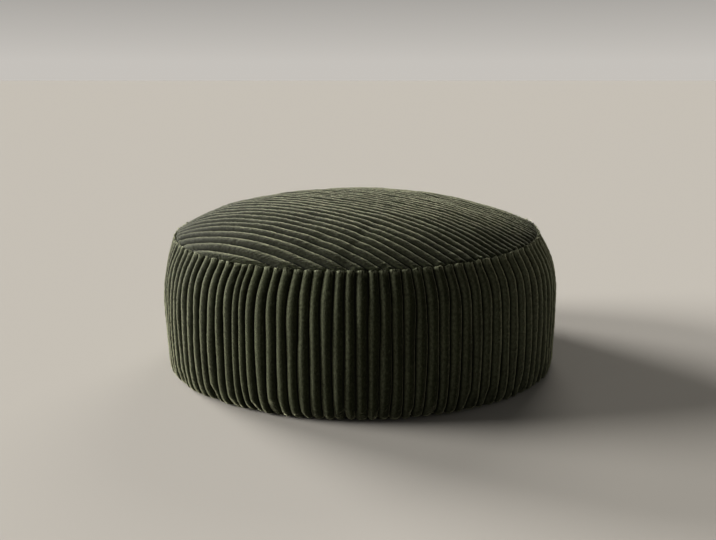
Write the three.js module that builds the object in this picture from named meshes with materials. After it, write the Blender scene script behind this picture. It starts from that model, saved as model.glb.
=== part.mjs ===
import * as THREE from "three";

// Giant round bean bag in wide-ribbed velvet corduroy, full and standing on the floor.
// Millimetres, +Z up. The origin is on the floor under the middle and the front faces -Y.
// A bearing is an angle in degrees from the front towards +X.
// Each sewn panel is one solid: its cloth with the share of the filling behind it.

// Driving dimensions, measured over the crests of the ribs
const BELLY_RADIUS = 600;
const BELLY_HEIGHT = 194;
const FOOT_RADIUS = 567;
const SEAM_RADIUS = 550;
const SEAM_HEIGHT = 403;
const CROWN_HEIGHT = 499;

// How boxy each curve is: 2 is round, more is squarer
const FOOT_CURVE = 2.27;
const SHOULDER_CURVE = 2.45;
const CROWN_CURVE = 3;
const CROWN_CURVE_SWING = { size: 0.84, facing: -59 };

// Cloth
const RIB_RELIEF = 8;
const SEAM_TUCK = 8;
const BASE_THICKNESS = 3;
const BASE_INSET = 6;
const GAP = 0.3;

// Side panels: three drops of cloth round the side, with the half ribs of the seam at each end
const PANEL_NAMES = ["side_panel_front", "side_panel_back", "side_panel_left"];
const FIRST_SEAM_BEARING = -31;
const WHOLE_RIBS = 38;
const SEAM_RIB_SHARE = 0.7;
const PANEL_SPREAD = 0.18;

// Top panel: straight ribs that run across the crown
const TOP_RIBS = 40;
const TOP_RIB_TURN = -39.8;
const TOP_STEPS = 14;
const TOP_LIP = 6;
const TOP_LIP_INSET = 1;

// Places across one rib: its groove, then the two edges of its flat crest
const RIB_SECTION = [
  { share: 0, relief: 0 },
  { share: 0.28, relief: 1 },
  { share: 0.72, relief: 1 },
];

// The filling has settled unevenly: size in millimetres, largest at the bearing it faces
const SAG = [
  { of: "foot", turns: 2, size: 20.3, facing: 95 },
  { of: "belly", turns: 2, size: 10, facing: -43 },
  { of: "belly height", turns: 1, size: 12, facing: 69 },
  { of: "seam", turns: 1, size: 16, facing: -88 },
];
const SEAM_TILT = { size: 12.4, facing: 155 };
const CROWN_LEAN = [
  { turns: 1, size: 9.8, facing: 182 },
  { turns: 2, size: 8.6, facing: -38 },
];

// The side ribs crowd together in places: swing in degrees
const RIB_CROWDING = [
  { turns: 1, swing: 2.7, from: 37.3 },
  { turns: 2, swing: -2, from: -22.9 },
  { turns: 3, swing: -1.15, from: 0.4 },
];

// On both flanks the side ribs swing away from the front and back again on the way up
const RIB_SWAY = [
  { climb: 0, swing: -0.1 },
  { climb: 0.07, swing: 0.1 },
  { climb: 0.25, swing: 0.5 },
  { climb: 0.39, swing: -0.2 },
  { climb: 0.6, swing: -0.7 },
  { climb: 0.85, swing: 0.5 },
  { climb: 1, swing: -1.1 },
];

// A pinch low down beside the first seam draws the last ribs into it
const PINCH = { bearing: -41.4, reach: 8.6, swing: 3.4, below: 0.39 };

// The top ribs drift from even places: shares of the way from the middle to the rim
const TOP_RIB_DRIFT = { mean: 0.005, swing: 0.006, from: -0.87, repeat: 0.62 };

// Rows up a side panel: climb 0 is the foot, 0.5 the belly and 1 the seam
const SIDE_ROWS = [
  { climb: 0, relief: 0.5 },
  { climb: 0.08, relief: 0.9 },
  { climb: 0.18, relief: 1 },
  { climb: 0.31, relief: 1 },
  { climb: 0.5, relief: 1 },
  { climb: 0.68, relief: 1 },
  { climb: 0.82, relief: 1 },
  { climb: 0.93, relief: 1 },
  { climb: 0.985, relief: 0.7 },
];

const cosine = (degrees) => Math.cos(THREE.MathUtils.degToRad(degrees));
const sine = (degrees) => Math.sin(THREE.MathUtils.degToRad(degrees));

function sagAt(place, bearing) {
  return SAG.filter((wave) => wave.of === place).reduce(
    (sum, wave) => sum + wave.size * cosine(wave.turns * (bearing - wave.facing)),
    0,
  );
}

function pointAt(bearing, radius, height) {
  return new THREE.Vector3(radius * sine(bearing), -radius * cosine(bearing), height);
}

// The seam lies in one slightly tilted plane
function seamHeight(bearing, radius) {
  const tilt = (SEAM_TILT.size * radius) / SEAM_RADIUS;
  return SEAM_HEIGHT + tilt * cosine(bearing - SEAM_TILT.facing);
}

// Outline of the side from foot to seam at one bearing
function sideOutline(bearing, climb) {
  const foot = FOOT_RADIUS + sagAt("foot", bearing);
  const belly = BELLY_RADIUS + sagAt("belly", bearing);
  const seam = SEAM_RADIUS + sagAt("seam", bearing);
  const bellyHeight = BELLY_HEIGHT + sagAt("belly height", bearing);
  const floor = BASE_THICKNESS + GAP;
  if (climb < 0.5) {
    const turn = 180 * climb;
    const out = sine(turn) ** (2 / FOOT_CURVE);
    const up = 1 - cosine(turn) ** (2 / FOOT_CURVE);
    return { radius: foot + (belly - foot) * out, height: floor + (bellyHeight - floor) * up };
  }
  const rise = 2 * climb - 1;
  const top = seamHeight(bearing, seam);
  return {
    radius: belly - (belly - seam) * rise ** SHOULDER_CURVE,
    height: bellyHeight + (top - bellyHeight) * rise,
  };
}

const swayCurve = new THREE.CubicInterpolant(
  RIB_SWAY.map((row) => row.climb),
  RIB_SWAY.map((row) => row.swing),
  1,
);

// Where a side rib that is evenly spaced at this turn really lies at this climb
function ribBearing(turn, climb) {
  const crowded = RIB_CROWDING.reduce(
    (sum, wave) => sum + wave.swing * sine(wave.turns * (turn - wave.from)),
    turn,
  );
  const sway = swayCurve.evaluate(climb)[0] * sine(crowded);
  const away = (crowded - PINCH.bearing) / PINCH.reach;
  const depth = Math.max(0, 1 - climb / PINCH.below);
  return crowded + sway + PINCH.swing * depth * Math.exp(-away * away);
}

function closedGeometry(points, faces) {
  const geometry = new THREE.BufferGeometry();
  geometry.setFromPoints(points);
  geometry.setIndex(faces.flat());
  geometry.computeVertexNormals();
  return geometry;
}

// Columns across one side panel: even turn, and how high the rib stands there
function panelColumns(firstTurn) {
  const whole = 360 / PANEL_NAMES.length / (WHOLE_RIBS + 2 * SEAM_RIB_SHARE);
  const columns = [];
  let turn = firstTurn;
  for (let rib = 0; rib < WHOLE_RIBS + 2; rib += 1) {
    const atSeam = rib === 0 || rib === WHOLE_RIBS + 1;
    const width = atSeam ? whole * SEAM_RIB_SHARE : whole;
    for (const place of RIB_SECTION) {
      columns.push({ turn: turn + place.share * width, relief: place.relief });
    }
    turn += width;
  }
  columns.push({ turn, relief: 0 });
  return columns;
}

// A wedge of the drum: ribbed cloth outside, flat walls to the middle where the panels meet
function sidePanelGeometry(firstTurn) {
  const columns = panelColumns(firstTurn);
  const rows = SIDE_ROWS.length + 1;
  const points = [];
  for (const column of columns) {
    for (const row of SIDE_ROWS) {
      const bearing = ribBearing(column.turn, row.climb);
      const { radius, height } = sideOutline(bearing, row.climb);
      const groove = RIB_RELIEF * row.relief * (1 - column.relief);
      points.push(pointAt(bearing, radius - groove, height));
    }
    const bearing = ribBearing(column.turn, 1);
    const tucked = sideOutline(bearing, 1).radius - SEAM_TUCK;
    points.push(pointAt(bearing, tucked, seamHeight(bearing, tucked)));
  }
  const low = points.push(new THREE.Vector3(0, 0, BASE_THICKNESS + GAP)) - 1;
  const high = points.push(new THREE.Vector3(0, 0, SEAM_HEIGHT)) - 1;
  const faces = [];
  const last = (columns.length - 1) * rows;
  for (let start = 0; start < last; start += rows) {
    for (let row = 0; row < rows - 1; row += 1) {
      const here = start + row;
      const next = here + rows;
      faces.push([here, next, here + 1], [next, next + 1, here + 1]);
    }
    faces.push([low, start + rows, start]);
    faces.push([high, start + rows - 1, start + 2 * rows - 1]);
  }
  for (let row = 0; row < rows - 1; row += 1) {
    faces.push([low, row, row + 1]);
    faces.push([low, last + row + 1, last + row]);
  }
  faces.push([low, rows - 1, high], [low, high, last + rows - 1]);
  return closedGeometry(points, faces);
}

// Height of the crown over a place given by its bearing and its share of the way out
function crownHeight(bearing, share) {
  const lip = seamHeight(bearing, share * SEAM_RADIUS) + TOP_LIP;
  const curve = CROWN_CURVE + CROWN_CURVE_SWING.size * cosine(bearing - CROWN_CURVE_SWING.facing);
  const crown = (CROWN_HEIGHT - SEAM_HEIGHT - TOP_LIP) * (1 - share ** curve);
  const lean = CROWN_LEAN.reduce((sum, wave) => {
    const reach = share ** wave.turns * (1 - share * share);
    return sum + wave.size * reach * cosine(wave.turns * (bearing - wave.facing));
  }, 0);
  return lip + crown + lean;
}

// A place on the crown from its shares across and along the ribs, both -1 to 1
function crownPoint(across, along, relief) {
  const sideways = along * Math.sqrt(Math.max(0, 1 - across * across));
  const share = Math.min(1, Math.hypot(across, sideways));
  const angle = Math.atan2(across, sideways);
  const bearing = 90 + TOP_RIB_TURN + THREE.MathUtils.radToDeg(angle);
  const radius = share * (SEAM_RADIUS + sagAt("seam", bearing) - TOP_LIP_INSET);
  const rim = share > 0.98 ? 0.5 : 1;
  const groove = RIB_RELIEF * rim * (1 - relief);
  return pointAt(bearing, radius, crownHeight(bearing, share) - groove);
}

// Where a top rib that is evenly spaced really lies, -1 to 1 across the crown
function topRibAcross(even) {
  const { mean, swing, from, repeat } = TOP_RIB_DRIFT;
  const drift = mean + swing * cosine((360 * (even - from)) / repeat);
  return even + drift * (1 - even ** 8);
}

// Lines along the top ribs
function topLines() {
  const lines = [];
  const count = TOP_RIBS * RIB_SECTION.length;
  for (let index = 1; index < count; index += 1) {
    const place = RIB_SECTION[index % RIB_SECTION.length];
    const share = (Math.floor(index / RIB_SECTION.length) + place.share) / TOP_RIBS;
    lines.push({ across: topRibAcross(2 * share - 1), relief: place.relief });
  }
  return lines;
}

// The crown: ribbed on top, a rolled rim tucked into the seam, flat underneath
function topPanelGeometry() {
  const points = [];
  const lines = topLines();
  for (const line of lines) {
    for (let step = 0; step <= TOP_STEPS; step += 1) {
      const along = Math.sin((Math.PI / 2) * ((2 * step) / TOP_STEPS - 1));
      points.push(crownPoint(line.across, along, line.relief));
    }
  }
  const firstTip = points.push(crownPoint(-1, 0, 0)) - 1;
  const lastTip = points.push(crownPoint(1, 0, 0)) - 1;
  const width = TOP_STEPS + 1;
  const lastLine = (lines.length - 1) * width;
  const faces = [];
  for (let start = 0; start < lastLine; start += width) {
    for (let step = 0; step < TOP_STEPS; step += 1) {
      const here = start + step;
      const next = here + width;
      faces.push([here, here + 1, next], [here + 1, next + 1, next]);
    }
  }
  for (let step = 0; step < TOP_STEPS; step += 1) {
    faces.push([firstTip, step + 1, step]);
    faces.push([lastTip, lastLine + step, lastLine + step + 1]);
  }
  const rim = [firstTip];
  for (let start = 0; start <= lastLine; start += width) {
    rim.push(start + TOP_STEPS);
  }
  rim.push(lastTip);
  for (let start = lastLine; start >= 0; start -= width) {
    rim.push(start);
  }
  const hem = rim.map((index) => {
    const { x, y } = points[index];
    const bearing = THREE.MathUtils.radToDeg(Math.atan2(x, -y));
    const radius = Math.hypot(x, y) + TOP_LIP_INSET - SEAM_TUCK;
    return points.push(pointAt(bearing, radius, seamHeight(bearing, radius) + GAP)) - 1;
  });
  const middle = points.push(new THREE.Vector3(0, 0, SEAM_HEIGHT + GAP)) - 1;
  rim.forEach((upper, place) => {
    const after = (place + 1) % rim.length;
    faces.push([upper, hem[place], rim[after]], [hem[place], hem[after], rim[after]]);
    faces.push([middle, hem[after], hem[place]]);
  });
  return closedGeometry(points, faces);
}

// The base: a flat round of cloth just inside the foot of the side
function basePanelGeometry() {
  const outline = [];
  for (let bearing = 0; bearing < 360; bearing += 4) {
    const radius = FOOT_RADIUS + sagAt("foot", bearing) - BASE_INSET;
    outline.push(new THREE.Vector2(radius * sine(bearing), -radius * cosine(bearing)));
  }
  const settings = { depth: BASE_THICKNESS, bevelEnabled: false };
  return new THREE.ExtrudeGeometry(new THREE.Shape(outline), settings);
}

function clothPiece(name, geometry, colour) {
  const cloth = new THREE.MeshStandardMaterial({ color: colour, roughness: 0.95, metalness: 0 });
  const piece = new THREE.Mesh(geometry, cloth);
  piece.name = name;
  return piece;
}

const beanBag = new THREE.Group();

PANEL_NAMES.forEach((name, index) => {
  const turn = 360 / PANEL_NAMES.length;
  const firstTurn = FIRST_SEAM_BEARING + index * turn;
  const panel = clothPiece(name, sidePanelGeometry(firstTurn), "#3a4432");
  const start = ribBearing(firstTurn, 0.5);
  const end = ribBearing(firstTurn + turn, 0.5);
  panel.position.copy(pointAt((start + end) / 2, PANEL_SPREAD, 0));
  beanBag.add(panel);
});

beanBag.add(clothPiece("top_panel", topPanelGeometry(), "#48523a"));
beanBag.add(clothPiece("base_panel", basePanelGeometry(), "#262b22"));

export default beanBag;
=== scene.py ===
# %% [markdown]
# # A giant round bean bag in wide-ribbed velvet corduroy
#
# The real bag is a low drum of cloth, 1.2 m across, filled with light beads. A maker cuts one round for
# the top with its ribs running straight across, three side panels with their ribs standing upright, and
# a plain round for the base. This lesson works out each of those panels as a mesh in numpy, lets a short
# cloth simulation settle the filling, raises the ribs, sews the seams and gives the cloth its velvet
# finish.

# %% Load the frame that the pieces have to fit
import math

import bpy
import numpy as np
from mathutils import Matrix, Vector


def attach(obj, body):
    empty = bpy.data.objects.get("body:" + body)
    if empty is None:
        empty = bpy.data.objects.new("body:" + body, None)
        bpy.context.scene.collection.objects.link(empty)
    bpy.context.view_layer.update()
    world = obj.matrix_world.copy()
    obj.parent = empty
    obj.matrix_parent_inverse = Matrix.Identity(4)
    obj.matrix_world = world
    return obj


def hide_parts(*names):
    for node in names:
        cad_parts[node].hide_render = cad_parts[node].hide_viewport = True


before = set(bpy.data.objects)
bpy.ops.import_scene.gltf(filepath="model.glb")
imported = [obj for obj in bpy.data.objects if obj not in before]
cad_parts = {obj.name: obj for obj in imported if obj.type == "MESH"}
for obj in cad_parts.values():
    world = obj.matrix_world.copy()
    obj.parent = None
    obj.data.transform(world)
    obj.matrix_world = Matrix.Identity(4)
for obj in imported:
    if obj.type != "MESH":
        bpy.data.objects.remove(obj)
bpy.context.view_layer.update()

# %% [markdown]
# ## The outline
#
# Seen from the side the bag is drawn in at the foot, widest at the belly and drawn in again at the round
# seam, and the crown rises from there. Each stretch is one power curve between two radii, so a few
# lengths hold the whole shape, and every later step asks the same functions where the cloth is. A
# sculpted block would do for the form too, but then nothing could say where a rib lies on it.

# %% Driving sizes, in metres, measured over the crests of the ribs
BELLY_RADIUS = 0.600
BELLY_HEIGHT = 0.194
FOOT_RADIUS = 0.567
SEAM_RADIUS = 0.550
SEAM_HEIGHT = 0.403
CROWN_HEIGHT = 0.499
FLOOR_REST = 0.001

# %% How boxy each curve is: 2 is round and more is squarer
FOOT_CURVE = 2.27
SHOULDER_CURVE = 2.45
CROWN_CURVE = 3.0
CROWN_CURVE_SWING = {"size": 0.84, "facing": -59}

# %% [markdown]
# ## Settled unevenly
#
# Bead filling never lies evenly. This bag is drawn in a little more at the front and back of its foot,
# its seam has slid to one side and tilts, and its crown is fuller at the back. Slow waves round the bag
# do this: each has a size, how often it repeats in one turn, and the bearing it faces. A bearing is in
# degrees from the front towards the right hand side.

# %% Waves of sag
SAG = [
    {"of": "foot", "turns": 2, "size": 0.0203, "facing": 95},
    {"of": "belly", "turns": 2, "size": 0.010, "facing": -43},
    {"of": "belly height", "turns": 1, "size": 0.012, "facing": 69},
    {"of": "seam", "turns": 1, "size": 0.016, "facing": -88},
]
SEAM_TILT = {"size": 0.0124, "facing": 155}
CROWN_LEAN = [
    {"turns": 1, "size": 0.0098, "facing": 182},
    {"turns": 2, "size": 0.0086, "facing": -38},
]


def cosine(degrees):
    return np.cos(np.radians(degrees))


def sine(degrees):
    return np.sin(np.radians(degrees))


def sag_at(place, bearing):
    """How far the foot, belly or seam lies out of its even round at a bearing."""
    waves = [wave for wave in SAG if wave["of"] == place]
    return sum(wave["size"] * cosine(wave["turns"] * (bearing - wave["facing"])) for wave in waves)


for place in ("foot", "belly", "seam"):
    sags = [round(float(1000 * sag_at(place, bearing))) for bearing in (0, 90, 180, 270)]
    print(place, "at the front, right, back and left out of round by", sags, "mm")


# %% Points from a bearing
def seam_height(bearing, radius):
    """Height of the tilted plane that the round seam lies in."""
    tilt = SEAM_TILT["size"] * radius / SEAM_RADIUS
    return SEAM_HEIGHT + tilt * cosine(bearing - SEAM_TILT["facing"])


def point_at(bearing, radius, height):
    """Points x, y, z from a bearing in degrees, a distance from the middle and a height."""
    return np.stack(np.broadcast_arrays(radius * sine(bearing), -radius * cosine(bearing), height), -1)


# %% Where the side lies
def side_surface(bearing, climb):
    """Point of the smooth side: climb 0 is the foot, 0.5 the belly and 1 the seam."""
    foot = FOOT_RADIUS + sag_at("foot", bearing)
    belly = BELLY_RADIUS + sag_at("belly", bearing)
    seam = SEAM_RADIUS + sag_at("seam", bearing)
    belly_height = BELLY_HEIGHT + sag_at("belly height", bearing)
    turn = 180 * np.clip(climb, 0, 0.5)
    out = sine(turn) ** (2 / FOOT_CURVE)
    up = 1 - np.clip(cosine(turn), 0, 1) ** (2 / FOOT_CURVE)
    rise = np.clip(2 * climb - 1, 0, None)
    radius = foot + (belly - foot) * out - (belly - seam) * rise**SHOULDER_CURVE
    low = FLOOR_REST + (belly_height - FLOOR_REST) * up
    return point_at(bearing, radius, low + (seam_height(bearing, seam) - belly_height) * rise)


# %% Where the crown lies
def crown_surface(bearing, share):
    """Point of the smooth crown: share 0 is its middle and 1 its rim at the seam."""
    radius = share * (SEAM_RADIUS + sag_at("seam", bearing))
    curve = CROWN_CURVE + CROWN_CURVE_SWING["size"] * cosine(bearing - CROWN_CURVE_SWING["facing"])
    height = seam_height(bearing, radius) + (CROWN_HEIGHT - SEAM_HEIGHT) * (1 - share**curve)
    for wave in CROWN_LEAN:
        reach = share ** wave["turns"] * (1 - share * share)
        height = height + wave["size"] * reach * cosine(wave["turns"] * (bearing - wave["facing"]))
    return point_at(bearing, radius, height)


print("side at the belly", side_surface(0.0, 0.5).round(3), "crown", crown_surface(0.0, 0.0).round(3))

# %% [markdown]
# ## Turning arrays into meshes
#
# Blender makes a mesh fast when it gets whole arrays, so each panel is worked out as a grid of points
# and handed over in one go. The helper also smooths the shading and keeps a number or a vector for each
# point, such as how far across its rib it lies, which the materials read later. Adding vertices one by
# one in a loop would give the same mesh, but for a third of a million faces it would take minutes.

# %% Faces of grids and fans
TINY = 1e-9


def grid_faces(rows, columns):
    """Quads between neighbouring lines of a grid whose points are numbered line by line."""
    corner = (np.arange(rows - 1)[:, None] * columns + np.arange(columns - 1)).ravel()
    return np.stack([corner, corner + columns, corner + columns + 1, corner + 1], -1)


def fan_faces(middle, ring):
    """Triangles from one middle point to the steps along a line of points."""
    return np.stack([np.full(len(ring) - 1, middle), ring[:-1], ring[1:]], -1)


def grid_normals(grid):
    """Unit normals of a grid of points from the slopes along its two directions."""
    normals = np.cross(np.gradient(grid, axis=1), np.gradient(grid, axis=0))
    return normals / np.maximum(np.linalg.norm(normals, axis=-1, keepdims=True), TINY)


print("a grid of 3 by 4 points has", len(grid_faces(3, 4)), "faces")


# %% A mesh object from arrays
def new_piece(name, points, faces, traits=None):
    """A mesh object from points, a list of face arrays and values per point for each named trait."""
    mesh = bpy.data.meshes.new(name)
    corners = np.concatenate([block.ravel() for block in faces])
    sizes = np.concatenate([np.full(len(block), block.shape[1]) for block in faces])
    mesh.vertices.add(len(points))
    mesh.vertices.foreach_set("co", points.astype(np.float32).ravel())
    mesh.loops.add(len(corners))
    mesh.loops.foreach_set("vertex_index", corners.astype(np.int32))
    mesh.polygons.add(len(sizes))
    mesh.polygons.foreach_set("loop_start", (np.cumsum(sizes) - sizes).astype(np.int32))
    mesh.update(calc_edges=True)
    mesh.shade_smooth()
    for trait, values in (traits or {}).items():
        kind, field = ("FLOAT", "value") if values.ndim == 1 else ("FLOAT_VECTOR", "vector")
        layer = mesh.attributes.new(trait, kind, "POINT")
        layer.data.foreach_set(field, values.astype(np.float32).ravel())
    piece = bpy.data.objects.new(name, mesh)
    bpy.context.collection.objects.link(piece)
    print(name, len(mesh.polygons), "faces")
    return piece


# %% [markdown]
# ## Filling the cover
#
# Nobody can draw by hand how a full cover bulges and dimples. So a plain cover is made first, with no
# ribs and just inside the real one, held at its foot and at its round seam, and blown up from inside
# with Blender's cloth, the way the beads push on the real one. The cloth is cut a little too large,
# which lets it buckle softly. A coarse mesh is right here: the dimples wanted are a hand wide, and the
# fine ribs are laid over the result afterwards. The even part of the swelling is taken off again,
# because the outline is already right, and only the dimples are kept.

# %% Plain cover
COVER_BEARINGS = 160
COVER_CLIMBS = 20
COVER_SHARES = 18
COVER_INSIDE = 0.004


def plain_cover():
    """Rings of points from the foot to the crown, a little inside the smooth surface."""
    bearing = np.linspace(0, 360, COVER_BEARINGS, endpoint=False)[None, :]
    climbs = np.linspace(0, 1, COVER_CLIMBS)[:, None]
    shares = np.linspace(1, 0, COVER_SHARES + 1)[1:-1, None]
    rows = np.concatenate([side_surface(bearing, climbs), crown_surface(bearing, shares)])
    middle = np.array([0, 0, CROWN_HEIGHT / 2])
    rows += (middle - rows) * COVER_INSIDE / np.linalg.norm(middle - rows, axis=-1, keepdims=True)
    return rows


def closed_rows(rows):
    """Points and faces of rings stacked from the floor to the crown, closed at both ends."""
    count, around = rows.shape[:2]
    ring = np.append(np.arange(around), 0)
    quads = grid_faces(count, around + 1)
    row, column = np.divmod(quads, around + 1)
    quads = row * around + column % around
    low = count * around
    points = np.vstack([rows.reshape(-1, 3), rows[0].mean(0), rows[-1].mean(0)])
    top_ring = ring + (count - 1) * around
    return points, [quads[:, ::-1], fan_faces(low, ring[::-1]), fan_faces(low + 1, top_ring)]


# %% Blow it up
BLOW_FRAMES = 20
CUT_TOO_LARGE = 0.012
CLOTH = {
    "quality": 6,
    "mass": 0.3,
    "tension_stiffness": 12,
    "compression_stiffness": 6,
    "bending_stiffness": 1.5,
    "use_pressure": True,
    "uniform_pressure_force": 4,
    "shrink_min": -CUT_TOO_LARGE,
}


def blow_up(cover, held):
    """Runs the cloth on the cover and gives the points where it comes to rest."""
    pins = cover.vertex_groups.new(name="held")
    pins.add([int(index) for index in held], 1.0, "REPLACE")
    cloth = cover.modifiers.new("filling", "CLOTH")
    for setting, value in CLOTH.items():
        setattr(cloth.settings, setting, value)
    cloth.settings.vertex_group_mass = pins.name
    cloth.settings.effector_weights.gravity = 0
    cloth.point_cache.frame_end = BLOW_FRAMES
    for step in range(1, BLOW_FRAMES + 1):
        bpy.context.scene.frame_set(step)
    settled = cover.evaluated_get(bpy.context.evaluated_depsgraph_get())
    points = np.empty(3 * len(cover.data.vertices), np.float32)
    settled.data.vertices.foreach_get("co", points)
    bpy.context.scene.frame_set(1)
    return points.reshape(-1, 3).astype(float)


# %% Keep the dimples
MOST_MOVE = 0.009


def only_dimples(moves):
    """Takes the mean of each ring off, so that the outline stays, and holds back a move too far."""
    outward = point_at(np.linspace(0, 360, moves.shape[1], endpoint=False), 1.0, 0.0)[None]
    swell = (moves * outward).sum(-1, keepdims=True).mean(1, keepdims=True)
    print("mean swell at the belly", round(1000 * float(swell[COVER_CLIMBS // 2, 0, 0]), 1), "mm")
    moves = moves - outward * swell
    moves[..., 2] -= moves[..., 2].mean(1, keepdims=True)
    length = np.linalg.norm(moves, axis=-1, keepdims=True)
    return moves * np.minimum(1, MOST_MOVE / np.maximum(length, TINY))


def settled_moves():
    """How far each point of the plain cover moves, as rows of vectors from the foot to the crown."""
    rows = plain_cover()
    count, around = rows.shape[:2]
    points, faces = closed_rows(rows)
    cover = new_piece("plain_cover", points, faces)
    seam_row = np.arange(around) + (COVER_CLIMBS - 1) * around
    held = np.concatenate([np.arange(around), seam_row, [count * around]])
    moves = (blow_up(cover, held) - points)[: count * around].reshape(count, around, 3)
    bpy.data.objects.remove(cover)
    moves = only_dimples(moves)
    return np.concatenate([moves, np.broadcast_to(moves[-1].mean(0), (1, around, 3))])


MOVES = settled_moves()
print("cover moved by up to", round(1000 * np.linalg.norm(MOVES, axis=-1).max(), 1), "mm")

# %% [markdown]
# ## Reading the filled cover
#
# The fine panels need the movement between the coarse points as well. Straight lines between them would
# show as corners in every rib, so four neighbours each way are blended with the smooth Catmull-Rom
# weights that animation curves use.

# %% Smooth sampling
def catmull_rom(part):
    """Weights of four neighbours for a place that lies this part of the way from the second on."""
    squared = part * part
    cubed = squared * part
    return [
        (-part + 2 * squared - cubed) / 2,
        (2 - 5 * squared + 3 * cubed) / 2,
        (part + 4 * squared - 3 * cubed) / 2,
        (cubed - squared) / 2,
    ]


def move_at(bearing, row):
    """Movement of the filled cover at a bearing and a row number that need not be whole."""
    rows, around = MOVES.shape[:2]
    place = np.mod(bearing, 360) / 360 * around
    column = np.floor(place).astype(int)
    line = np.clip(np.floor(row).astype(int), 0, rows - 1)
    total = np.zeros(np.broadcast(bearing, row).shape + (3,))
    for down, low_weight in enumerate(catmull_rom(row - line)):
        near = np.clip(line + down - 1, 0, rows - 1)
        for across, weight in enumerate(catmull_rom(place - column)):
            total += (low_weight * weight)[..., None] * MOVES[near, (column + across - 1) % around]
    return total


def side_move(bearing, climb):
    """Movement of the side where the filling pushes or leaves it."""
    return move_at(bearing, climb * (COVER_CLIMBS - 1))


def crown_move(bearing, share):
    """Movement of the crown where the filling pushes or leaves it."""
    return move_at(bearing, COVER_CLIMBS - 1 + (1 - share) * COVER_SHARES)


belly_move = side_move(np.array([0.0]), np.array([0.5]))[0]
print("front of the belly moved by", (1000 * belly_move).round(1), "mm")

# %% [markdown]
# ## Creases, listed one by one
#
# Where the bag has been sat on, a soft crease runs over the front of the crown to the round seam, with a
# short one beside it, and the ribs step down into them. Two broad dips lie at the right and at the back
# left. Their places matter for the likeness, so they are a short table: each row is a trough between two
# places on the crown, in metres from the middle, with its width and depth. The cloth simulation would
# put its creases wherever it liked.

# %% Soft troughs
CREASES = [
    {"start": (0.03, -0.33), "end": (-0.045, -0.53), "width": 0.022, "depth": 0.0027},
    {"start": (-0.10, -0.40), "end": (-0.13, -0.46), "width": 0.024, "depth": 0.002},
    {"start": (0.25, 0.10), "end": (0.36, -0.05), "width": 0.05, "depth": 0.005},
    {"start": (-0.30, 0.20), "end": (-0.12, 0.30), "width": 0.06, "depth": 0.005},
]


def crease_depth(points):
    """How deep all the troughs together press each point in."""
    total = np.zeros(points.shape[:-1])
    flat = points[..., :2]
    for crease in CREASES:
        start = np.array(crease["start"])
        run = np.array(crease["end"]) - start
        along = np.clip(((flat - start) @ run) / (run @ run), 0, 1)
        away = np.linalg.norm(flat - start - along[..., None] * run, axis=-1)
        total += crease["depth"] * np.exp(-((away / crease["width"]) ** 2))
    return total


print("deepest crease", 1000 * max(crease["depth"] for crease in CREASES), "mm")

# %% Small lumps in the filling
LUMP_DEPTH = 0.0009
LUMP_WAVES = 9
LUMP_TURN = 2.4
LUMP_TILT = {"size": 0.6, "turn": 1.7}
LUMP_PITCH = {"first": 16, "step": 5}
LUMP_SHIFT = 1.9


def lumps(points):
    """A sum of slow waves in set directions, which breaks up the even form."""
    total = np.zeros(points.shape[:-1])
    for step in range(LUMP_WAVES):
        tilt = LUMP_TILT["size"] * math.sin(LUMP_TILT["turn"] * step)
        heading = np.array([math.sin(LUMP_TURN * step), math.cos(LUMP_TURN * step), tilt])
        pitch = LUMP_PITCH["first"] + LUMP_PITCH["step"] * step
        total += np.sin(points @ heading * pitch + LUMP_SHIFT * step)
    return LUMP_DEPTH * total / math.sqrt(LUMP_WAVES)


print("lump at the middle of the crown", (1000 * lumps(crown_surface(0.0, np.zeros(1)))).round(2), "mm")


# %% [markdown]
# ## One rib
#
# In section a rib of this velvet is a soft round hump that touches its neighbours in a tight dark
# groove. A super-ellipse gives that with one number for how square it is. Ten places across each rib,
# closer together at the groove, keep the steep sides smooth.

# %% Rib section
RIB_RELIEF = 0.0125
RIB_SQUARENESS = 2.05
RIB_PLACES = np.array([0, 0.03, 0.085, 0.18, 0.32, 0.5, 0.68, 0.82, 0.915, 0.97])
RELIEF_FOR_WIDTH = 0.42


def rib_height(place):
    """Height of the hump from 0 at its grooves to 1 at its crest, for a place 0 to 1 across the rib."""
    return np.sqrt(np.clip(1 - np.abs(2 * place - 1) ** RIB_SQUARENESS, 0, 1))


def rib_relief(width):
    """Height of a rib that is this wide: a squeezed rib is lower."""
    return np.minimum(RIB_RELIEF, RELIEF_FOR_WIDTH * width)


print("rib section", rib_height(RIB_PLACES).round(2))

# %% [markdown]
# ## Rib ends at the round seam
#
# The seam has no piping. The fat ends of the side ribs swell up, roll over and are turned in, and the
# top ribs sink down behind them into a narrow dark valley, each a little sooner or later than the next.
# So the seam is not a line but a row of ragged scallops. One helper says how far a point is drawn down
# towards the sewn line, and both panels use it.

# %% Ends drawn into the seam
SEAM_DEPTH = 0.0075
SEAM_INWARD = 0.69 * SEAM_DEPTH
SEAM_DOWNWARD = 0.72 * SEAM_DEPTH
SIDE_END = {"reach": 0.0055, "scatter": 0.0015, "rise": 0.0062, "swell": 0.009}
TOP_END = {"reach": 0.0120, "scatter": 0.0035}
DRAW_CURVE = 1.8
RIB_BEAT = {"rib": 12.9898, "step": 4.137}
SLOW_BEAT = {"rib": 3.71, "step": -1.3}


def rib_scatter(rib, step):
    """A scatter between -1 and 1 that looks random from rib to rib and is the same in every run."""
    fast = np.sin(RIB_BEAT["rib"] * rib + RIB_BEAT["step"] * step)
    return fast * np.cos(SLOW_BEAT["rib"] * rib + SLOW_BEAT["step"] * step)


def seam_line(bearing):
    """The sewn line itself, sunk below the crests of both panels."""
    radius = SEAM_RADIUS + sag_at("seam", bearing)
    return point_at(bearing, radius - SEAM_INWARD, seam_height(bearing, radius) - SEAM_DOWNWARD)


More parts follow.
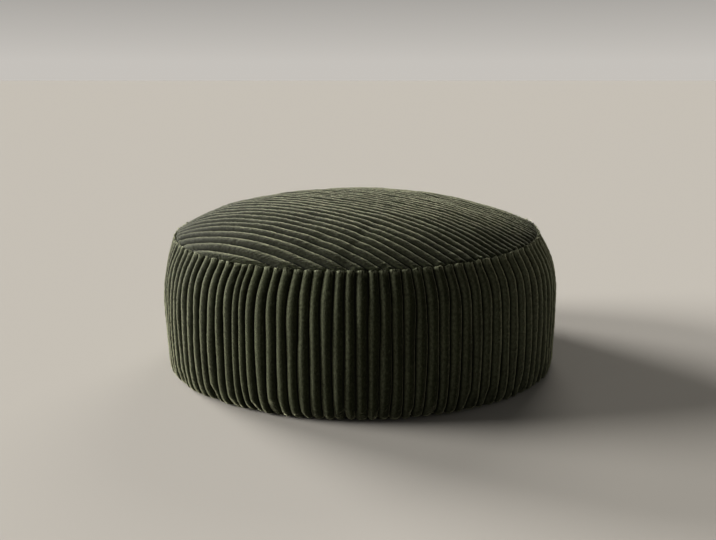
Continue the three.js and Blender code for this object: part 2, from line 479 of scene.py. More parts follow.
def drawn_in(distance, rib, end):
    """1 at the seam line and 0 where the rib end has its full height."""
    reach = end["reach"] + end["scatter"] * rib_scatter(rib, 1)
    return np.clip(1 - distance / reach, 0, 1) ** DRAW_CURVE


print("sewn line at the front", seam_line(0.0).round(3))

# %% [markdown]
# ## Cut pile
#
# Velvet pile stands up all over the ribs as a fine grain, and where the cloth is cut and turned in at the
# seam it sticks out in tufts. Both are small shifts of the points along the ribs, drawn from a seeded
# generator, so they are the same in every run. The finest grain is left to the bump of the material.

# %% Grain and tufts
PILE_GRAIN = 0.00035
RAGGED = 0.0016
GRAIN_LIMIT = 2.2
FRAY = 0.0018
FRAY_LIMIT = 1.6


def tufts(count, seed):
    """How far each line of a panel sticks out where its pile is cut off at the seam."""
    drawn = np.random.default_rng(seed).standard_normal(count)
    return FRAY * np.clip(drawn, -FRAY_LIMIT, FRAY_LIMIT)[:, None]


def pile_grain(shape, seed):
    """Seeded grain over a grid of points, softened a little between neighbours."""
    grain = np.random.default_rng(seed).standard_normal(shape)
    for axis in (0, 1):
        grain = (np.roll(grain, 1, axis) + 2 * grain + np.roll(grain, -1, axis)) / 4
    return np.clip(grain / grain.std(), -GRAIN_LIMIT, GRAIN_LIMIT)


print("longest tuft", round(1000 * FRAY * FRAY_LIMIT, 1), "mm")

# %% [markdown]
# ## The ribs of the side
#
# The corduroy has very wide ribs, about 30 mm from groove to groove. Each side panel carries 38 whole
# ribs and a narrowed one at each end, where the upright seam takes up cloth. The ribs are not evenly
# spread: they crowd in places, swing a little on the flanks, wander by a millimetre, and a pinch low
# down beside the first seam draws some of them in. All of that is a shift of the bearing, so the ribs
# stay whole however far they wander. A texture could draw ribs much more cheaply, but only real ridges
# catch the light along their edges and show at the outline.

# %% Rib lines of the side
PANEL_NAMES = ["side_panel_front", "side_panel_back", "side_panel_left"]
FIRST_SEAM_BEARING = -31
WHOLE_RIBS = 38
SEAM_RIB_SHARE = 0.7
RIB_CROWDING = [
    {"turns": 1, "swing": 2.7, "from": 37.3},
    {"turns": 2, "swing": -2.0, "from": -22.9},
    {"turns": 3, "swing": -1.15, "from": 0.4},
]
SWAY = [
    {"climb": 0, "swing": -0.1},
    {"climb": 0.07, "swing": 0.1},
    {"climb": 0.25, "swing": 0.5},
    {"climb": 0.39, "swing": -0.2},
    {"climb": 0.6, "swing": -0.7},
    {"climb": 0.85, "swing": 0.5},
    {"climb": 1, "swing": -1.1},
]
PINCH = {"bearing": -41.4, "reach": 8.6, "swing": 3.4, "below": 0.39}
TABLE_STEPS = 97
TABLE_ROUNDS = 30


def sway_at(climb):
    """Reads the short table of sway with soft turns between its rows."""
    places = [row["climb"] for row in SWAY]
    rough = np.linspace(places[0], places[-1], TABLE_STEPS)
    soft = np.interp(rough, places, [row["swing"] for row in SWAY])
    for _ in range(TABLE_ROUNDS):
        soft[1:-1] = (soft[:-2] + 2 * soft[1:-1] + soft[2:]) / 4
    return np.interp(climb, rough, soft)


def rib_bearing(turn, climb):
    """Where a side rib that is evenly spaced at this turn really lies at this climb."""
    swings = [wave["swing"] * sine(wave["turns"] * (turn - wave["from"])) for wave in RIB_CROWDING]
    crowded = turn + sum(swings)
    sway = sway_at(climb) * sine(crowded)
    away = (crowded - PINCH["bearing"]) / PINCH["reach"]
    depth = np.clip(1 - climb / PINCH["below"], 0, 1)
    return crowded + sway + PINCH["swing"] * depth * np.exp(-away * away)


print("the first seam's groove lies at", rib_bearing(FIRST_SEAM_BEARING, np.array([0, 0.5, 1])).round(1))


# %% Lines across a side panel
RIB_WIDTH_SCATTER = 0.07


def panel_lines(first_turn):
    """Turn of every line of a panel, its place across its rib, and its rib's number and width."""
    whole = 360 / len(PANEL_NAMES) / (WHOLE_RIBS + 2 * SEAM_RIB_SHARE)
    widths = whole * (1 + RIB_WIDTH_SCATTER * rib_scatter(np.arange(WHOLE_RIBS + 2), first_turn))
    widths[[0, -1]] = whole * SEAM_RIB_SHARE
    widths[1:-1] *= WHOLE_RIBS * whole / widths[1:-1].sum()
    grooves = first_turn + np.concatenate([[0], np.cumsum(widths)])
    turns = (grooves[:-1, None] + widths[:, None] * RIB_PLACES).ravel()
    ribs = np.repeat(np.arange(len(widths)), len(RIB_PLACES))
    return (
        np.append(turns, grooves[-1]),
        np.append(np.tile(RIB_PLACES, len(widths)), 1),
        np.append(ribs, len(widths) - 1),
        np.append(widths[ribs], widths[-1]),
    )


print("a side panel has", len(panel_lines(FIRST_SEAM_BEARING)[0]), "lines across its ribs")

# %% Wander of the side ribs
SIDE_WANDER = 0.0013
SIDE_WAVES = [
    {"size": 1.0, "groove": 1.9, "along": 7, "phase": 1},
    {"size": 0.6, "groove": 2.7, "along": -13, "phase": 0},
]
GROOVES_HELD = 3


def slow_waves(waves, groove, along, phase=0):
    """Waves along a groove that are out of step from one groove to the next."""
    total = 0
    for wave in waves:
        turn = wave["groove"] * groove + wave["along"] * along + wave["phase"] * phase
        total = total + wave["size"] * np.sin(turn)
    return total


def side_wander(groove, climb, phase):
    """Sideways shift of a groove, in metres; the two seams of the panel stay where they are."""
    held = np.clip(np.minimum(groove, WHOLE_RIBS + 2 - groove) / GROOVES_HELD, 0, 1)
    return SIDE_WANDER * held * slow_waves(SIDE_WAVES, groove, climb, phase)


print("a groove in mid panel wanders by", round(1000 * float(side_wander(20, 0.5, 0)), 2), "mm")


# %% Rows up a side panel
SIDE_ROWS = 216
ROW_CROWDING = 1.35
MEASURE_STEPS = 4000


def side_climbs():
    """Rows up the cloth, closer together near the seam, and how far each is below the seam."""
    fine = np.linspace(0, 1, MEASURE_STEPS)
    steps = np.linalg.norm(np.diff(side_surface(0.0, fine), axis=0), axis=1)
    length = np.concatenate([[0], np.cumsum(steps)])
    wanted = length[-1] * (1 - np.linspace(1, 0, SIDE_ROWS) ** ROW_CROWDING)
    return np.interp(wanted, length, fine), length[-1] - wanted


print("a side panel is", round(1000 * side_climbs()[1][0]), "mm tall along its front")

# %% [markdown]
# ## The side panels
#
# A panel is a grid with one line for each of the ten places across each rib and closely spaced rows.
# First the smooth surface takes the movement of the filling, then the ribs are raised along its normals.
# At the top the rib ends go down into the seam, and at the foot the cloth turns under the bag. Walls to
# the middle close the panel, so that it is one filled piece, as it is in the frame.

# %% What each point of a rib tells the material
def rib_traits(places, ends, pile, extra):
    """Groove depth, flank painted light or dark, nearness to the seam and place on the flat cloth."""
    depth = np.broadcast_to(np.abs(2 * places[:, None] - 1), ends.shape).ravel()
    flank_light = np.broadcast_to(np.sin(2 * np.pi * places[:, None]), ends.shape).ravel()
    return {
        "groove": np.append(depth, np.ones(extra)),
        "flank_light": np.append(flank_light, np.zeros(extra)),
        "seam_end": np.append(ends.ravel(), np.ones(extra)),
        "pile": np.vstack([pile.reshape(-1, 3), np.zeros((extra, 3))]),
    }


# %% Where the lines of a side panel run
def side_places(lines, climbs, phase):
    """Bearing and climb of every point of a panel, with its ribs swaying and wandering."""
    turns, places, ribs = (values[:, None] for values in lines[:3])
    climb = np.broadcast_to(climbs[None, :], (len(turns), len(climbs)))
    wander = (1 - places) * side_wander(ribs, climb, phase)
    wander = wander + places * side_wander(ribs + 1, climb, phase)
    return rib_bearing(turns, climb) + np.degrees(wander / BELLY_RADIUS), climb


# %% Raise the ribs of a side panel
CREST_SCATTER = 0.07
CREST_CHANGE = 3
END_ROUNDNESS = 0.6
FRINGE_SPREAD = 0.5


def side_grid(lines, bearing, climb, below_seam, seed):
    """Points of a panel, and how far each is part of the pale cut fringe."""
    turns, places, ribs, widths = (values[:, None] for values in lines)
    smooth = side_surface(bearing, climb) + side_move(bearing, climb)
    normal = -grid_normals(smooth)
    stretch = np.gradient(bearing, lines[0], axis=0)
    relief = rib_relief(np.radians(widths * stretch) * np.hypot(smooth[..., 0], smooth[..., 1]))
    ending = np.exp(-((below_seam / SIDE_END["swell"]) ** 2))
    hump = rib_height(places) * (1 + CREST_SCATTER * rib_scatter(ribs, CREST_CHANGE * climb))
    grain = pile_grain(hump.shape, seed) * (PILE_GRAIN + RAGGED * ending**2) * rib_height(places)
    grid = smooth + normal * (relief * (hump - 1) + lumps(smooth) + grain)[..., None]
    fray = tufts(len(turns), seed) * ending**2
    grid += normal * (fray * rib_height(places))[..., None]
    grid[..., 2] += (SIDE_END["rise"] + fray) * ending * rib_height(places) ** END_ROUNDNESS
    pull = drawn_in(below_seam, ribs, SIDE_END)[..., None]
    grid = grid * (1 - pull) + seam_line(bearing) * pull
    grid[..., 2] = np.maximum(grid[..., 2], FLOOR_REST)
    return grid, ending * rib_height(places) ** FRINGE_SPREAD


# %% Walls to the middle
INSIDE_DROP = 0.012


def side_faces(lines, rows):
    """The cloth, its underside, its top and its two end walls, closed to two points in the middle."""
    low = lines * rows
    high = low + 1
    starts = np.arange(lines) * rows
    row = np.arange(rows)
    last = starts[-1]
    return [
        grid_faces(lines, rows),
        fan_faces(low, starts[::-1]),
        fan_faces(high, starts + rows - 1),
        fan_faces(low, row),
        fan_faces(low, last + row[::-1]),
        np.array([[low, rows - 1, high], [low, high, last + rows - 1]]),
    ]


# %% Make the side panels
UNDER_REACH = 0.014
UNDER_RISE = 0.0022


def side_panel(name, first_turn):
    panel_line = panel_lines(first_turn)
    turns, places = panel_line[:2]
    climbs, below_seam = side_climbs()
    seed = len(name)
    bearing, climb = side_places(panel_line, climbs, seed)
    grid, ending = side_grid(panel_line, bearing, climb, below_seam, seed)
    under = grid[:, :1] + point_at(bearing[:, :1], -UNDER_REACH, 0.0)
    under[..., 2] = FLOOR_REST + UNDER_RISE
    grid = np.concatenate([under, grid], axis=1)
    middle = [[0, 0, FLOOR_REST + UNDER_RISE], [0, 0, SEAM_HEIGHT - INSIDE_DROP]]
    points = np.vstack([grid.reshape(-1, 3), middle])
    along = np.concatenate([[below_seam[0] + UNDER_REACH], below_seam])
    across = np.radians(turns)[:, None] * BELLY_RADIUS
    pile = np.stack(np.broadcast_arrays(across, along[None, :], 0.0), -1)
    ends = np.concatenate([ending[:, :1], ending], axis=1)
    traits = rib_traits(places, ends, pile, len(middle))
    return new_piece(name, points, side_faces(*grid.shape[:2]), traits)


sides = []
for index, cad_name in enumerate(PANEL_NAMES):
    panel = side_panel("cover_" + cad_name, FIRST_SEAM_BEARING + index * 360 / len(PANEL_NAMES))
    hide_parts(cad_name)
    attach(panel, "root")
    sides.append(panel)

# %% [markdown]
# ## The top panel
#
# The round of the top has its ribs straight across, turned to run from far left to near right. A disc is
# covered with lines along the ribs: each line spans the disc at its own distance from the middle, with
# the same number of points on every line. That keeps each groove one clean line, which a grid of rings
# and spokes could not do. The outermost points form the rim at the seam line, and an underside closes
# the piece. The painted highlight and painted shade of the top lie on the other flanks of its ribs than
# on the side, so its material reads the places across each rib the other way round.

# %% Rib lines of the top
TOP_RIBS = 40
TOP_RIB_TURN = -39.8
TOP_RIB_DRIFT = {"mean": 0.005, "swing": 0.006, "from": -0.87, "repeat": 0.62}
TOP_STEPS = 216
TOP_END_CROWDING = 0.55
TOP_WANDER = 0.0024
TOP_WAVES = [
    {"size": 1.0, "groove": 1.9, "along": 4, "phase": 0},
    {"size": 0.5, "groove": 2.7, "along": -9, "phase": 0},
]


def top_across(even):
    """Where a top rib that is evenly spaced really lies, -1 to 1 across the crown."""
    wave = cosine(360 * (even - TOP_RIB_DRIFT["from"]) / TOP_RIB_DRIFT["repeat"])
    return even + (TOP_RIB_DRIFT["mean"] + TOP_RIB_DRIFT["swing"] * wave) * (1 - even**8)


def top_lines():
    """How far across the disc each line runs, its place across its rib and the number of its rib."""
    index = np.arange(1, TOP_RIBS * len(RIB_PLACES))
    places = RIB_PLACES[index % len(RIB_PLACES)]
    ribs = index // len(RIB_PLACES)
    return top_across(2 * (ribs + places) / TOP_RIBS - 1), places, ribs


def top_wander(groove, sideways):
    """Shift of a groove across the crown, as a share of its radius."""
    return TOP_WANDER * slow_waves(TOP_WAVES, groove, sideways)


print("the top has", TOP_RIBS, "ribs of", round(2000 * SEAM_RADIUS / TOP_RIBS, 1), "mm")


# %% Places of the top's points
def top_grid():
    """Bearing and share of every point, with its place across its rib and its two flat coordinates."""
    across, places, ribs = top_lines()
    step = np.linspace(-1, 1, TOP_STEPS + 1)[None, :]
    along = TOP_END_CROWDING * np.sin(np.pi / 2 * step) + (1 - TOP_END_CROWDING) * step
    sideways = along * np.sqrt(1 - across[:, None] ** 2)
    rib = ribs[:, None]
    place = places[:, None]
    wander = (1 - place) * top_wander(rib, sideways) + place * top_wander(rib + 1, sideways)
    crossing = across[:, None] + wander * (1 - across[:, None] ** 2) * (1 - along**2)
    share = np.clip(np.hypot(crossing, sideways), 0, 1)
    bearing = 90 + TOP_RIB_TURN + np.degrees(np.arctan2(crossing, sideways))
    return bearing, share, places, ribs, crossing, sideways


# %% Raise the ribs of the top
TOP_GRAIN_SEED = 5
TOP_RAGGED = 0.6 * RAGGED
OVER_SEAM = np.array([0, 0, 0.0004])


def raised_top(bearing, share, places, ribs, sideways):
    """Points of the top with its ribs, creases and tucked ends, and how near each is to the seam."""
    smooth = crown_surface(bearing, share) + crown_move(bearing, share)
    normal = grid_normals(smooth)
    normal *= np.sign(normal[..., 2:3])
    distance = (1 - share) * SEAM_RADIUS
    rib = ribs[:, None]
    hump = rib_height(places)[:, None] * (1 + CREST_SCATTER * rib_scatter(rib, CREST_CHANGE * sideways))
    ending = np.exp(-((distance / TOP_END["reach"]) ** 2))
    grain = pile_grain(hump.shape, TOP_GRAIN_SEED) * (PILE_GRAIN + TOP_RAGGED * ending)
    relief = rib_relief(np.full(hump.shape, 2 * SEAM_RADIUS / TOP_RIBS))
    fray = tufts(len(places), TOP_GRAIN_SEED) * ending
    lift = relief * (hump - 1) + lumps(smooth) - crease_depth(smooth) + grain + fray
    grid = smooth + normal * lift[..., None]
    pull = drawn_in(distance, rib, TOP_END)[..., None]
    return grid * (1 - pull) + (seam_line(bearing) + OVER_SEAM) * pull, ending


def top_faces(lines, steps):
    """The cloth, a fan to the tip beyond its first and last line, and an underside."""
    first_tip = lines * steps
    starts = np.arange(lines) * steps
    step = np.arange(steps)
    rim = np.concatenate([[first_tip], starts + steps - 1, [first_tip + 1], starts[::-1], [first_tip]])
    return [
        grid_faces(lines, steps)[:, ::-1],
        fan_faces(first_tip, step[::-1]),
        fan_faces(first_tip + 1, starts[-1] + step),
        fan_faces(first_tip + 2, rim[::-1]),
    ]


# %% Make the top panel
TOP_DROP = 0.6 * INSIDE_DROP
TOP_PILE_LAYER = 3.0


def top_panel():
    bearing, share, places, ribs, crossing, sideways = top_grid()
    grid, ending = raised_top(bearing, share, places, ribs, sideways)
    tips = seam_line(90 + TOP_RIB_TURN + np.array([-90.0, 90.0])) + OVER_SEAM
    middle = np.array([[0, 0, SEAM_HEIGHT - TOP_DROP]])
    closing = np.vstack([tips, middle])
    points = np.vstack([grid.reshape(-1, 3), closing])
    flat = [crossing * SEAM_RADIUS, sideways * SEAM_RADIUS, np.full(share.shape, TOP_PILE_LAYER)]
    traits = rib_traits(1 - places, ending, np.stack(flat, -1), len(closing))
    return new_piece("cover_top_panel", points, top_faces(*share.shape), traits)


top = top_panel()
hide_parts("top_panel")
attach(top, "root")

# %% [markdown]
# ## The base
#
# The base is a flat round of plain hard-wearing cloth that nobody sees. It lies flat on the floor, just
# inside the foot of the side, with a turned hem round its edge.

# %% Make the base
BASE_INSET = 0.006
BASE_SIDES = 240
BASE_THICK = 0.0012
HEM_RINGS = [
    {"from_edge": 0.500, "height": 0.0},
    {"from_edge": 0.020, "height": 0.0},
    {"from_edge": 0.018, "height": 0.0002},
    {"from_edge": 0.002, "height": 0.0},
    {"from_edge": 0.0, "height": 0.0007},
    {"from_edge": 0.002, "height": 0.0014},
    {"from_edge": 0.018, "height": BASE_THICK},
    {"from_edge": 0.500, "height": BASE_THICK},
]


def base_panel():
    """Rings of points from the middle of the underside round the hem to the middle of the upper side."""
    bearing = np.linspace(0, 360, BASE_SIDES, endpoint=False)
    reach = FOOT_RADIUS + sag_at("foot", bearing) - BASE_INSET
    rings = [point_at(bearing, reach - row["from_edge"], row["height"]) for row in HEM_RINGS]
    points = np.vstack(rings + [[[0, 0, 0], [0, 0, BASE_THICK]]])
    ring = np.append(np.arange(BASE_SIDES), 0)
    middle = len(rings) * BASE_SIDES
    faces = [fan_faces(middle, ring[::-1])]
    for index in range(len(rings) - 1):
        here = ring + index * BASE_SIDES
        there = here + BASE_SIDES
        faces.append(np.stack([here[:-1], here[1:], there[1:], there[:-1]], -1))
    faces.append(fan_faces(middle + 1, ring + (len(rings) - 1) * BASE_SIDES))
    return new_piece("cover_base_panel", points, faces)


base = base_panel()
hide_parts("base_panel")
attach(base, "root")

# %% [markdown]
# ## Node helpers
#
# Every finish here is a small tree of nodes on Blender's Principled shader. A class keeps the recipes
# short: it adds a node and sets its sockets, and it has one line each for a noise on given coordinates,
# for spreading a range of values, for mixing two colours, for a sum or product, and for reading one of
# the traits that a panel carries. Drawing the trees by hand in the node editor gives the same result,
# but a reader can't follow it in a script.

# %% Node helpers
class Tree:
    """A new material and short ways to add nodes to it."""

    # A mix node also has sockets for plain numbers and vectors; these are the ones for colours.
    COLOUR_SOCKETS = (0, 6, 7)
    COLOUR_RESULT = 2

    def __init__(self, name):
        self.material = bpy.data.materials.new(name)
        self.material.use_nodes = True
        self.nodes = self.material.node_tree.nodes
        self.links = self.material.node_tree.links
        self.shader = self.nodes["Principled BSDF"]

    def add(self, kind, settings=None, **sockets):
        node = self.nodes.new(kind)
        for name, value in (settings or {}).items():
            setattr(node, name, value)
        for name, value in sockets.items():
            self.set(node, name.replace("_", " "), value)
        return node

    def set(self, node, socket, value):
        if isinstance(value, bpy.types.NodeSocket):
            self.links.new(value, node.inputs[socket])
        else:
            node.inputs[socket].default_value = value

    def noise(self, vector, scale, detail=3.0):
        return self.add("ShaderNodeTexNoise", Vector=vector, Scale=scale, Detail=detail).outputs["Fac"]

    def spread(self, value, low, high, to_low=0.0, to_high=1.0):
        node = self.add("ShaderNodeMapRange", Value=value)
        for name, number in zip(("From Min", "From Max", "To Min", "To Max"), (low, high, to_low, to_high)):
            self.set(node, name, number)
        return node.outputs["Result"]

    def mix(self, factor, first, second):
        node = self.add("ShaderNodeMix", {"data_type": "RGBA"})
        for place, value in zip(self.COLOUR_SOCKETS, (factor, first, second)):
            self.set(node, place, value)
        return node.outputs[self.COLOUR_RESULT]

    def trait(self, name, output="Fac"):
        return self.add("ShaderNodeAttribute", {"attribute_name": name}).outputs[output]

    def math(self, operation, first, second=0.0):
        node = self.add("ShaderNodeMath", {"operation": operation})
        for place, value in enumerate((first, second)):
            self.set(node, place, value)
        return node.outputs[0]


# %% [markdown]
# ## Velvet corduroy
#
# Velvet is dark seen straight on and pale where its pile is seen from the side, so the Principled
# shader's sheen does most of the work over a very dark green. The colour also carries painted light: a
# groove is painted nearly black as painted shade, and one flank of each rib is painted paler as a
# painted highlight while the other is painted darker as painted shade. Brushed patches are lighter, the
# cut ends at the seam are pale, and single tufts make a fine dark and light grain. The grain is
# stretched along the ribs by reading the pile coordinates that each panel carries. The pile of the top
# is pressed flatter, so it has less sheen and more grain, and its green is painted darker than the
# side's as painted shade. Real hair would look better only at arm's length and would cost far too much.

# %% Greens of the velvet
# The deep green darkens the grain and fuzz, and it is also the painted shade in the grooves and on one
# flank of each rib.
DEEP_GREEN_GRAIN_AND_SHADE = (0.0024, 0.0026, 0.0010, 1)
GREEN = (0.0200, 0.0232, 0.0102, 1)
# The pale greens of the side and the top give pale flecks, and they are also the painted highlight on one
# flank of each rib.
SIDE_PALE_FLECK_AND_HIGHLIGHT = (0.152, 0.163, 0.106, 1)
# The top's green is the side's green made darker, as painted shade on the top.
TOP_SHADED_GREEN = (0.0165, 0.0188, 0.0080, 1)
TOP_PALE_FLECK_AND_HIGHLIGHT = (0.088, 0.095, 0.053, 1)
FRINGE = (0.155, 0.165, 0.110, 1)
BRUSHED_GAIN = 1.5


def brighter(colour):
    """The same colour where the pile is brushed up."""
    return tuple(BRUSHED_GAIN * part for part in colour[:3]) + (1,)


print("brushed green", [round(part, 4) for part in brighter(GREEN)[:3]])

# %% Surface of the velvet
VELVET = {
    "Roughness": 0.9,
    "Specular IOR Level": 0.08,
    "Sheen Roughness": 0.24,
    "Sheen Tint": (0.97, 0.98, 0.64, 1),
}
PILE_NOISE = {
    "brushed": {"scale": 8, "detail": 4, "low": 0.38, "high": 0.68},
    "grain": {"scale": 230, "detail": 3, "low": 0.36, "high": 0.62},
    "flecks": {"scale": 150, "detail": 2, "low": 0.58, "high": 0.70},
    "fuzz": {"scale": 800, "detail": 2, "low": 0.38, "high": 0.62},
}
ALONG_RIB = (1.0, 0.5, 1.0)
# Share of the painted highlight on one flank of each rib and of the painted shade on the other flank.
FLANK_LIGHT_SHARE = 0.40
FLECK_SHARE = 0.25
FUZZ_SHARE = 0.30
TUFT_GRAIN = {"low": 0.25, "high": 0.75}
# Where in the groove the painted shade starts and where it is full.
GROOVE_SHADE = {"low": 0.66, "high": 0.96}
PILE_BUMP = {"grain": 0.8, "fuzz": 0.5, "strength": 0.6, "height": 0.0013}
BUMP_FADE = {"low": 0.35, "high": 0.80, "to_low": 1.0, "to_high": 0.0}

for finish, row in PILE_NOISE.items():
    print(finish, "noise is about", round(1000 / row["scale"], 1), "mm wide")


# %% Corduroy material
def pile_noises(tree):
    """The four noises of the pile, 0 to 1; all but the brushed patches are stretched along the ribs."""
    pile = tree.trait("pile", "Vector")
    stretch = tree.add("ShaderNodeMapping", Vector=pile, Scale=ALONG_RIB).outputs["Vector"]
    noises = {}
    for finish, row in PILE_NOISE.items():
        noise = tree.noise(pile if finish == "brushed" else stretch, row["scale"], row["detail"])
        noises[finish] = tree.spread(noise, row["low"], row["high"])
    return noises


def pile_colour(tree, noises, mid, pale, seam_tone, grainy):
    """Pile colour from grain and cut ends, with painted light on the flanks and painted shade in grooves.
    """
    grain = noises["grain"]
    flank_light = tree.trait("flank_light")
    cloth = tree.mix(noises["brushed"], mid, brighter(mid))
    # One flank of each rib is painted paler as a painted highlight, and the other is painted darker as
    # painted shade.
    cloth = tree.mix(tree.spread(flank_light, 0.0, 1.0, 0.0, FLANK_LIGHT_SHARE), cloth, pale)
    cloth = tree.mix(tree.spread(flank_light, 0.0, -1.0, 0.0, FLANK_LIGHT_SHARE), cloth, DEEP_GREEN_GRAIN_AND_SHADE)
    cloth = tree.mix(tree.math("MULTIPLY", noises["flecks"], FLECK_SHARE * grainy), cloth, pale)
    cloth = tree.mix(tree.spread(grain, 0.0, 1.0, grainy, 0.0), cloth, DEEP_GREEN_GRAIN_AND_SHADE)
    cloth = tree.mix(tree.spread(noises["fuzz"], 0.0, 1.0, FUZZ_SHARE, 0.0), cloth, DEEP_GREEN_GRAIN_AND_SHADE)
    ragged = tree.math("MULTIPLY", tree.trait("seam_end"), tree.spread(grain, **TUFT_GRAIN))
    cloth = tree.mix(ragged, cloth, seam_tone)
    # The groove is painted nearly black as painted shade.
    return tree.mix(tree.spread(tree.trait("groove"), **GROOVE_SHADE), cloth, DEEP_GREEN_GRAIN_AND_SHADE)


def pile_bump(tree, noises):
    """Bump of the grain and fuzz, which fades out towards the groove."""
    grain = tree.math("MULTIPLY", noises["grain"], PILE_BUMP["grain"])
    height = tree.math("ADD", grain, tree.math("MULTIPLY", noises["fuzz"], PILE_BUMP["fuzz"]))
    height = tree.math("MULTIPLY", height, tree.spread(tree.trait("groove"), **BUMP_FADE))
    sizes = {"Strength": PILE_BUMP["strength"], "Distance": PILE_BUMP["height"]}
    return tree.add("ShaderNodeBump", Height=height, **sizes).outputs["Normal"]


def corduroy(name, mid, pale, seam_tone, grainy, sheen):
    """Velvet of one tone; grainy is how dark its grain goes and sheen how much its pile shines."""
    tree = Tree(name)
    for socket, value in VELVET.items():
        tree.set(tree.shader, socket, value)
    tree.set(tree.shader, "Sheen Weight", sheen)
    noises = pile_noises(tree)
    tree.set(tree.shader, "Base Color", pile_colour(tree, noises, mid, pale, seam_tone, grainy))
    tree.set(tree.shader, "Normal", pile_bump(tree, noises))
    print(name, "has", len(tree.nodes), "nodes")
    return tree.material


# %% Dress the side and the top
side_velvet = corduroy("side_velvet", GREEN, SIDE_PALE_FLECK_AND_HIGHLIGHT, FRINGE, grainy=0.50, sheen=1.0)
top_velvet = corduroy("top_velvet", TOP_SHADED_GREEN, TOP_PALE_FLECK_AND_HIGHLIGHT, GREEN, grainy=0.82, sheen=0.30)
for panel in sides:
    panel.data.materials.append(side_velvet)
top.data.materials.append(top_velvet)

# %% [markdown]
# ## Base cloth
#
# The hidden base is a tight plain weave. Two crossed wave textures give the threads over and under, and
# the same height makes a slight bump.

# %% Woven base material
THREAD = (0.020, 0.024, 0.018, 1)
THREAD_SHADOW = (0.006, 0.007, 0.005, 1)
WEAVE = {"roughness": 0.85, "scale": 180.0, "strength": 0.5, "height": 0.0006}
FADED = {"scale": 6, "detail": 3}


def plain_weave(name, thread, shadow):
    """Crossed threads in one colour over the shadow between them."""
    tree = Tree(name)
    tree.set(tree.shader, "Roughness", WEAVE["roughness"])
    place = tree.add("ShaderNodeTexCoord").outputs["Object"]
    waves = []
    for direction in ("X", "Y"):
        settings = {"wave_type": "BANDS", "bands_direction": direction}
        wave = tree.add("ShaderNodeTexWave", settings, Vector=place, Scale=WEAVE["scale"])
        waves.append(wave.outputs["Fac"])
    weave = tree.math("MULTIPLY", waves[0], waves[1])
    worn = tree.mix(tree.noise(place, **FADED), thread, brighter(thread))
    tree.set(tree.shader, "Base Color", tree.mix(weave, shadow, worn))
    sizes = {"Strength": WEAVE["strength"], "Distance": WEAVE["height"]}
    bump = tree.add("ShaderNodeBump", Height=weave, **sizes)
    tree.set(tree.shader, "Normal", bump.outputs["Normal"])
    print(name, "has", len(tree.nodes), "nodes")
    return tree.material


base.data.materials.append(plain_weave("base_weave", THREAD, THREAD_SHADOW))

# %% [markdown]
# ## The floor
#
# The floor is plain, pale and quite matt, and reaches so far that its edge is the horizon. A curved
# backdrop would be the studio's way, but it would get in the way of the views from behind.

# %% Floor
FLOOR_REACH = 400
FLOOR_COLOUR = (0.315, 0.299, 0.278, 1)

corner = np.array([[-1, -1, 0], [1, -1, 0], [1, 1, 0], [-1, 1, 0]]) * FLOOR_REACH
floor = new_piece("floor", corner, [np.array([[0, 1, 2, 3]])])
floor_tree = Tree("floor_paint")
floor_tree.set(floor_tree.shader, "Base Color", FLOOR_COLOUR)
floor_tree.set(floor_tree.shader, "Roughness", 1.0)
floor_tree.set(floor_tree.shader, "Specular IOR Level", 0.0)
floor.data.materials.append(floor_tree.material)

# %% [markdown]
# ## Surroundings and lights
#
# Velvet shows its shape by the light that grazes its pile. Two low, wide lights stand far off, one at
# the left and one behind at the left, so that the left edge of each rib catches them. A weak one from
# behind draws the thin edges at the right. The surroundings are a pale band at the horizon under a
# darker ceiling, which fills the grooves softly. Area lamps near the bag would do as well, but they
# leave a bright spot on the floor.

# %% Surroundings
HORIZON = {"colour": (0.56, 0.535, 0.50, 1), "rise": 0.02}
CEILING = {"colour": (0.13, 0.128, 0.12, 1), "rise": 0.20}

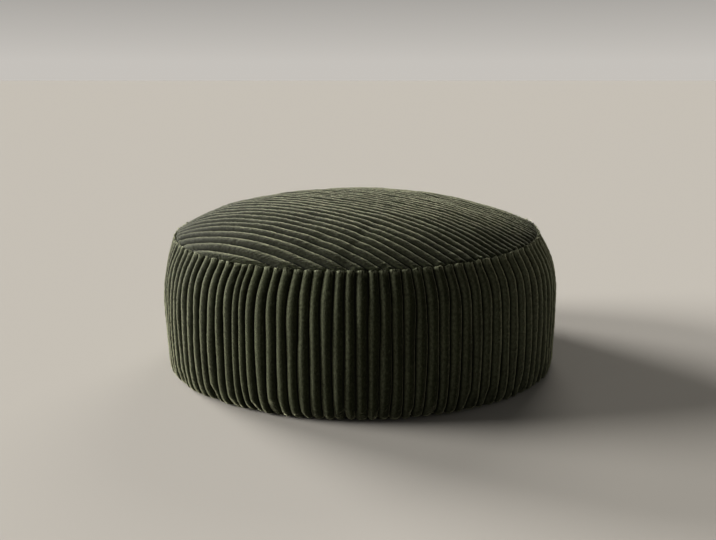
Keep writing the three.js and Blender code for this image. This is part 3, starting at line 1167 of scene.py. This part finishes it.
world = bpy.data.worlds.new("studio")
world.use_nodes = True
world_nodes = world.node_tree.nodes
world_links = world.node_tree.links
direction = world_nodes.new("ShaderNodeTexCoord")
split = world_nodes.new("ShaderNodeSeparateXYZ")
ramp = world_nodes.new("ShaderNodeValToRGB")
for stop, band in zip(ramp.color_ramp.elements, (HORIZON, CEILING)):
    stop.color = band["colour"]
    stop.position = band["rise"]
world_links.new(direction.outputs["Generated"], split.inputs["Vector"])
world_links.new(split.outputs["Z"], ramp.inputs["Fac"])
world_links.new(ramp.outputs["Color"], world_nodes["Background"].inputs["Color"])
bpy.context.scene.world = world

# %% Lights
LAMPS = [
    {"name": "left_light", "bearing": -94, "rise": 17, "wide": 28,
     "power": 7.4, "colour": (1.0, 0.98, 0.93)},
    {"name": "rear_left_light", "bearing": -132, "rise": 15, "wide": 26,
     "power": 9.0, "colour": (1.0, 0.98, 0.94)},
    {"name": "rear_light", "bearing": 166, "rise": 26, "wide": 30,
     "power": 1.6, "colour": (1.0, 0.97, 0.90)},
]
LAMP_DISTANCE = 4


def far_light(name, bearing, rise, wide, power, colour):
    """Far light from a bearing and a rise above the floor in degrees, spread over a wide angle."""
    lamp = bpy.data.lights.new(name, "SUN")
    lamp.angle = math.radians(wide)
    lamp.energy = power
    lamp.color = colour
    light = bpy.data.objects.new(name, lamp)
    toward = point_at(bearing, cosine(rise), sine(rise))
    light.location = LAMP_DISTANCE * toward
    light.rotation_euler = Vector(-toward).to_track_quat("-Z", "Y").to_euler()
    bpy.context.collection.objects.link(light)
    print(name, "shines from", toward.round(2))


for row in LAMPS:
    far_light(**row)

# %% [markdown]
# ## The camera
#
# The camera stands in front of the bag, a little above it, where the photo was taken from: its place,
# its pitch and its lens come from fitting the outline and the ribs.

# %% Camera
CAMERA_PLACE = (-0.0113, -2.52, 0.8486)
CAMERA_PITCH = 0.2270
LENS = 41.62
SENSOR_WIDTH = 36

camera_data = bpy.data.cameras.new("camera")
camera_data.sensor_width = SENSOR_WIDTH
camera_data.lens = LENS
camera = bpy.data.objects.new("camera", camera_data)
camera.location = CAMERA_PLACE
camera.rotation_euler = (math.pi / 2 - CAMERA_PITCH, 0, 0)
bpy.context.collection.objects.link(camera)
bpy.context.scene.camera = camera
bpy.context.scene.view_settings.view_transform = "Standard"
print("camera looks down by", round(math.degrees(CAMERA_PITCH), 1), "degrees")
